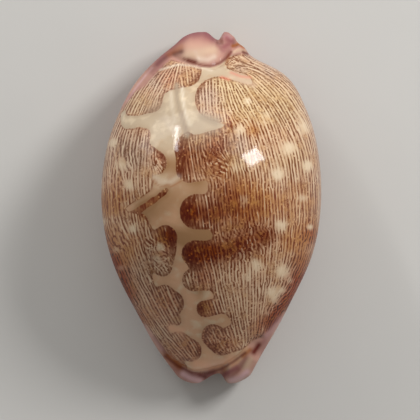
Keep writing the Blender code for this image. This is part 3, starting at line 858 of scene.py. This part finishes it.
def shell_material(colours, shape):
    """Shell enamel: aragonite laid down as porcelain-smooth glaze, so it mirrors lamps sharply, with
    its brown lines under a clear surface and a pale line where the two halves of the mantle met."""
    material, add = new_material("aragonite_shell_enamel")
    place = add("place")
    mark = {name: add("mark", name) for name in (*MARKS, *END_MARKS, "map", "bare", "tooth")}
    cloud = {}  # each centred on zero and mostly within 0.5 of it
    for name, (size, detail) in CLOUDS.items():
        spread = add("stretch", place, DASH_STRETCH) if name == "dash" else place
        lumps = add("clouds", spread, 1 / (size * MM), detail)
        cloud[name] = add("times", add("minus", lumps, 0.5), 2.0)
    broad, blur, middling, dash, fine, grain = cloud.values()

    # How much brown lies at each place: the lines, their darker rim and the specks and spots in them.
    pale_spot = add("ramp", summed(add, mark["pale_spot"], (middling, 0.25)), 0.15, 1.05)
    wave = line_wave(add, place, shape.line_reach, shape.line_spacing)
    bundle = line_wave(add, place, BUNDLE_REACH * shape.line_reach, BUNDLE_SPACING * shape.line_spacing)
    edge = summed(add, mark["map"], (middling, 0.12), (fine, 0.06))
    inside = add("ramp", edge, -0.06, 0.14)
    width = summed(add, 0.5, (mark["solid"], 1.9), (middling, 0.4))
    film = add("ramp", add("over", edge, width), 0.4, 1.2, 1.0, 0.0)
    dark_film = add("times", film, mark["solid"])
    speck = add("ramp", add("cells", place, 1 / (SPECK_CELL * MM)), 0.15, 0.32, 1.0, 0.0)
    cover = summed(
        add, 0.54, (film, 0.08), (dark_film, 0.4), (broad, 0.20), (middling, 0.25), (fine, 0.15),
        (dash, 0.40), (bundle, -0.30), (mark["deep"], 0.20), (pale_spot, -0.6), (speck, -0.7),
    )  # fmt: skip
    line = add("ramp", add("minus", cover, wave), -0.15, 0.18)
    grained = add("ramp", summed(add, grain, (cover, 1.0)), 0.15, 0.75)
    blurred = summed(add, blur, (middling, 0.5), (mark["russet"], -0.5))
    blurred = add("ramp", blurred, -0.15, 0.5, 0.0, 0.6)
    line = summed(add, line, (add("times", blurred, add("minus", grained, line)), 1.0))

    # The brown fields: ground and line colours by region, a haze of brown and gleams between the lines.
    ground, ink = colours.ground, colours.line
    for name in BROWNS:
        share = add("ramp", summed(add, mark[name], (broad, 0.25)), 0.0, 1.0)
        ground = add("blend", ground, getattr(colours, name + "_ground"), share)
        ink = add("blend", ink, getattr(colours, name + "_line"), share)
    ink = add("blend", add("blend", ink, ground, 0.3), ink, add("ramp", dash, -0.35, 0.2))
    light = add("blend", ground, colours.pale_spot, 0.6)
    clouded = add("ramp", broad, -0.1, 0.5)
    haze = summed(add, 0.18, (clouded, 0.2), (film, 0.40), (dark_film, 0.45), (mark["deep"], 0.35))
    haze = add("times", haze, summed(add, 1.0, (speck, -0.85)), use_clamp=True)
    ground = add("blend", ground, ink, haze)
    ochre = add("ramp", summed(add, blur, (middling, -0.5)), 0.0, 0.5, 0.0, 0.3)
    ground = add("blend", ground, colours.ochre, ochre)
    gleam = summed(
        add, wave, (bundle, 0.35), (dash, 0.2), (fine, 0.1), (blur, -0.25), (film, -0.3),
        (mark["deep"], -0.3), (mark["russet"], -0.3), (mark["rust"], -0.15),
    )  # fmt: skip
    ground = add("blend", ground, light, add("ramp", gleam, 0.85, 1.2, 0.0, 0.9))
    ground = add("blend", ground, colours.pale_spot, add("times", pale_spot, 0.8))

    # The pale line, with its stains, its whiter clouds and its tan reaches.
    rear, front = PALE_TURNS
    turned = add("ramp", add("along", place), rear * MM, front * MM)
    pale = add("blend", colours.pale, colours.pale_front, turned)
    stain = add("ramp", summed(add, broad, (middling, 0.5)), 0.0, 0.7, 0.0, 0.4)
    pale = add("blend", pale, colours.pale_stain, stain)
    whiter = add("ramp", summed(add, blur, (middling, 0.8)), -0.1, 0.6, 0.0, 0.7)
    pale = add("blend", pale, colours.pale_spot, whiter)
    tan = summed(add, mark["tan"], (add("ramp", edge, -1.2, 0.1), 0.25))
    pale = add("blend", pale, colours.tan, tan)
    coat = add("blend", add("blend", pale, ground, inside), ink, add("times", line, inside))

    # The callus over the margins, base and ends, and the soft strokes on the ends, some of which are
    # painted crease shade and painted highlights.
    rosier = add("ramp", broad, -0.4, 0.4, 0.0, 0.85)
    callus = add("blend", colours.callus, colours.callus_rosy, rosier)
    callus = add("blend", callus, colours.tooth, mark["tooth"])
    bare = add("ramp", summed(add, mark["bare"], (middling, 0.3)), -0.25, 0.45)
    coat = add("blend", coat, callus, bare)
    for name in END_MARKS:
        coat = add("blend", coat, getattr(colours, name), mark[name])

    # The glaze is thinnest over the callus, the dark lower edges and the dark edge at the rear.
    stained = add("most", mark["russet"], add("times", mark["deep"], 0.9))
    dulled = add("most", bare, add("times", stained, 0.8))
    glaze = summed(add, 0.6, (dulled, -0.5), (mark["dusk"], -0.1))
    ripple = add("ripple", 1.0, RIPPLE_DEPTH * MM, summed(add, middling, (fine, 0.3)))
    enamel = add(
        "surface", Base_Color=coat, Roughness=0.5, Specular_IOR_Level=0.05, Normal=ripple,
        Coat_Weight=glaze, Coat_Roughness=0.10, Coat_Normal=ripple,
    )  # fmt: skip
    add("finish", enamel)
    return material


def colour(name, code, description):
    return bpy.props.FloatVectorProperty(
        name=name,
        description=description,
        subtype="COLOR",
        size=4,
        min=0.0,
        max=1.0,
        default=linear(code),
    )


def length(name, millimetres, description):
    return bpy.props.FloatProperty(
        name=name, description=description, unit="LENGTH", subtype="DISTANCE", default=millimetres * MM
    )


class CowrieShape(bpy.types.PropertyGroup):
    """Sizes of the shell's finer features."""

    teeth: bpy.props.IntProperty(
        name="Teeth", description="Teeth along each lip of the aperture", default=32, min=10, max=60
    )
    outer_groove: length("Outer grooves", 0.55, "Depth of the grooves between the outer lip's teeth")
    inner_groove: length("Inner grooves", 0.40, "Depth of the grooves between the inner lip's teeth")
    line_spacing: length("Line spacing", 0.66, "Distance from one brown line to the next")
    line_reach: length("Line reach", 5.2, "How far a line runs before it forks or ends")


class CowrieColours(bpy.types.PropertyGroup):
    """Colours of the enamel."""

    pale: colour("Pale line, rear", "#B4A086", "Bare enamel of the pale line, towards the rear")
    pale_front: colour("Pale line, front", "#CA9E7C", "Bare enamel of the pale line, towards the front")
    pale_stain: colour("Stains", "#A87A48", "Stains in the pale line")
    pale_spot: colour("Pale spots", "#D4C0A2", "Round pale spots in the brown fields")
    ground: colour("Ground", "#C09A7A", "Enamel between the brown lines")
    line: colour("Lines", "#6A3412", "Brown lines")
    golden_ground: colour("Golden ground", "#C2A47A", "Ground of the golden region")
    golden_line: colour("Golden lines", "#6E421C", "Lines of the golden region")
    mauve_ground: colour("Mauve ground", "#B49680", "Ground of the greyish region")
    mauve_line: colour("Mauve lines", "#66422C", "Lines of the greyish region")
    umber_ground: colour("Umber ground", "#B87E5A", "Ground of the reddish-grey regions")
    umber_line: colour("Umber lines", "#6A3420", "Lines of the reddish-grey regions")
    rust_ground: colour("Rusty ground", "#B07C4A", "Ground of the reddish region")
    rust_line: colour("Rusty lines", "#6C2C0C", "Lines of the reddish region")
    russet_ground: colour("Russet ground", "#903808", "Ground along the lower edges")
    russet_line: colour("Russet lines", "#280400", "Lines along the lower edges")
    ochre: colour("Ochre", "#AE7C3C", "Ochre clouds between the brown lines")
    tan: colour("Tan", "#926C48", "Tan reaches of the pale line")
    deep_ground: colour("Deep ground", "#8C4408", "Ground of the darkest region")
    deep_line: colour("Deep lines", "#4E1000", "Lines of the darkest region")
    callus: colour("Callus", "#B88E7C", "Margins and base")
    callus_rosy: colour("Rosy callus", "#986862", "Rosier parts of the margins and base")
    tooth: colour("Teeth", "#D9A070", "Ridges of the teeth")
    cream: colour("Cream", "#BC9E86", "Cream parts of the ends")
    # Mauve-pink of the ends, with a little painted shade in the front crease.
    rosy: colour("Rosy", "#7C4448", "Mauve-pink parts of the ends")
    amber: colour("Amber", "#925222", "Golden-brown parts of the ends")
    # Real dark spots of the ends, and painted shade in the creases at both ends.
    maroon: colour("Maroon", "#5C1E16", "Darkest spots of the ends")
    # Nearly white rims and lines, and a painted highlight on the rear lobe's lower edge.
    ivory: colour("Ivory", "#DCD0BC", "Nearly white rims and lines at the rear")
    dusk: colour("Dusk", "#5E403A", "Dark brownish edge beside the rear lobe")
    butter: colour("Butter", "#DCA480", "Warm cream where the pale line meets the front end")
    # Partly the pinkish-white of the lower edges, partly painted highlights on the upper left edge and
    # on the rear bead.
    pearl: colour("Pearl", "#CDA6A8", "Pinkish-white lower edges of the ends")
    veil: colour("Veil", "#94826C", "Grey-green seam within the pale line")
    blush: colour("Blush", "#C86A58", "Reddish tinge by the spire")


class CowrieStudio(bpy.types.PropertyGroup):
    """The floor and the room's light."""

    floor: colour("Floor", "#BDBBB7", "Painted board under the shell")
    room: colour("Room", "#F2F1EF", "Even light of the room")
    fill: bpy.props.FloatProperty(
        name="Fill", description="Strength of the room's even light", default=0.4, min=0.0, max=5.0
    )


class COWRIE_OT_shell(bpy.types.Operator):
    """Builds the fine shell with its teeth, lobes and markings"""

    bl_idname = "cowrie.shell"
    bl_label = "Shell"

    def execute(self, context):
        shape, colours = context.scene.cowrie_shape, context.scene.cowrie_colours
        depth = {-1: shape.outer_groove / MM, 1: shape.inner_groove / MM}
        outer, inner = shell_walls(shape.teeth, depth)
        piece = wrapped_sheet("cowrie_shell", outer, inner, marks_on(outer, shape.teeth))
        piece.data.materials.append(shell_material(colours, shape))
        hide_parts("shell")
        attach(piece, "root")
        return {"FINISHED"}


# Lamps: name, degrees from +Y towards +X, degrees above the shell, then in metres its distance, width
# and height, and then the degrees it leans over and its radiance.
LAMPS = (
    ("key_softbox", 53, 38, 0.62, 0.18, 0.20, 0, 26.0),
    ("rear_panel", -10, 14, 0.60, 0.46, 0.26, 0, 2.6),
    ("rear_haze", 10, 38, 0.60, 0.50, 0.26, 0, 0.8),
    ("left_panel", -44, 8, 0.60, 0.38, 0.22, 0, 2.6),
    ("left_strip", -31, 26, 0.66, 0.040, 0.33, -31, 26.0),
    ("right_panel", 95, 14, 0.60, 0.40, 0.26, 0, 0.6),
)
AIM = (0.0, 0.0, 0.022)
FLOOR_SIZE = 3.0  # metres
FLOOR_MOTTLE = 50 / 3  # size of the floor's patches in millimetres


def floor_material(paint):
    """Matt painted board: rolled on, so even and barely mottled, and the shell's shadow stays soft."""
    material, add = new_material("matt_painted_board")
    mottle = add("clouds", add("place"), 1 / (FLOOR_MOTTLE * MM), 3.0)
    darker = tuple(0.96 * part for part in paint[:3]) + (1.0,)
    board = add("surface", Base_Color=add("blend", darker, tuple(paint), mottle), Roughness=0.7)
    add("finish", board)
    return material


def add_lamp(name, turn, climb, distance, width, height, lean, radiance):
    """An area lamp at a bearing and a height from the shell, turned to face it and leant over."""
    turn, climb, lean = (math.radians(angle) for angle in (turn, climb, lean))
    reach = distance * math.cos(climb)
    place = (reach * math.sin(turn), reach * math.cos(turn), AIM[2] + distance * math.sin(climb))
    facing = (math.pi / 2 - climb, 0.0, math.pi - turn)
    bpy.ops.object.light_add(type="AREA", location=place, rotation=facing)
    lamp = bpy.context.object
    lamp.rotation_euler.rotate_axis("Z", lean)
    lamp.name = name
    lamp.data.shape, lamp.data.size, lamp.data.size_y = "RECTANGLE", width, height
    lamp.data.energy = radiance * math.pi * width * height


class COWRIE_OT_studio(bpy.types.Operator):
    """Sets the floor, the lamps and the camera that looks straight down"""

    bl_idname = "cowrie.studio"
    bl_label = "Studio"

    def execute(self, context):
        scene, studio = context.scene, context.scene.cowrie_studio
        deselect()
        bpy.ops.mesh.primitive_plane_add(size=FLOOR_SIZE)
        floor = context.object
        floor.name = floor.data.name = "floor"
        floor.data.materials.append(floor_material(studio.floor))
        for lamp in LAMPS:
            add_lamp(*lamp)
        scene.world = scene.world or bpy.data.worlds.new("studio")
        scene.world.use_nodes = True
        back = scene.world.node_tree.nodes["Background"]
        back.inputs["Color"].default_value = studio.room
        back.inputs["Strength"].default_value = studio.fill
        middle = picture(PICTURE_SIZE / 2, PICTURE_SIZE / 2)
        place = (middle[0] * MM, middle[1] * MM, EYE_HEIGHT * MM)
        bpy.ops.object.camera_add(location=place, rotation=(0.0, 0.0, 0.0))
        scene.camera = context.object
        scene.camera.data.lens, scene.camera.data.sensor_width = LENS, SENSOR
        scene.camera.data.clip_start = CLIP_START
        scene.view_settings.view_transform = "Standard"
        return {"FINISHED"}


class COWRIE_PT_panel(bpy.types.Panel):
    """Lists the shell's and the studio's builders"""

    bl_idname = "COWRIE_PT_panel"
    bl_label = "Map Cowrie"
    bl_space_type = "VIEW_3D"
    bl_region_type = "UI"
    bl_category = "Cowrie"

    def draw(self, context):
        for name in GROUPS:
            group = getattr(context.scene, name)
            box = self.layout.box()
            for prop in group.bl_rna.properties:
                if prop.identifier not in ("rna_type", "name"):
                    box.prop(group, prop.identifier)
        for operator in (COWRIE_OT_shell, COWRIE_OT_studio):
            self.layout.operator(operator.bl_idname)


GROUPS = {"cowrie_shape": CowrieShape, "cowrie_colours": CowrieColours, "cowrie_studio": CowrieStudio}
CLASSES = (*GROUPS.values(), COWRIE_OT_shell, COWRIE_OT_studio, COWRIE_PT_panel)


def register():
    for cls in CLASSES:
        bpy.utils.register_class(cls)
    for name, group in GROUPS.items():
        setattr(bpy.types.Scene, name, bpy.props.PointerProperty(type=group))


def unregister():
    for name in GROUPS:
        delattr(bpy.types.Scene, name)
    for cls in reversed(CLASSES):
        bpy.utils.unregister_class(cls)


def main():
    register()
    bpy.ops.cowrie.studio()
    bpy.ops.cowrie.shell()


if __name__ == "__main__":
    main()
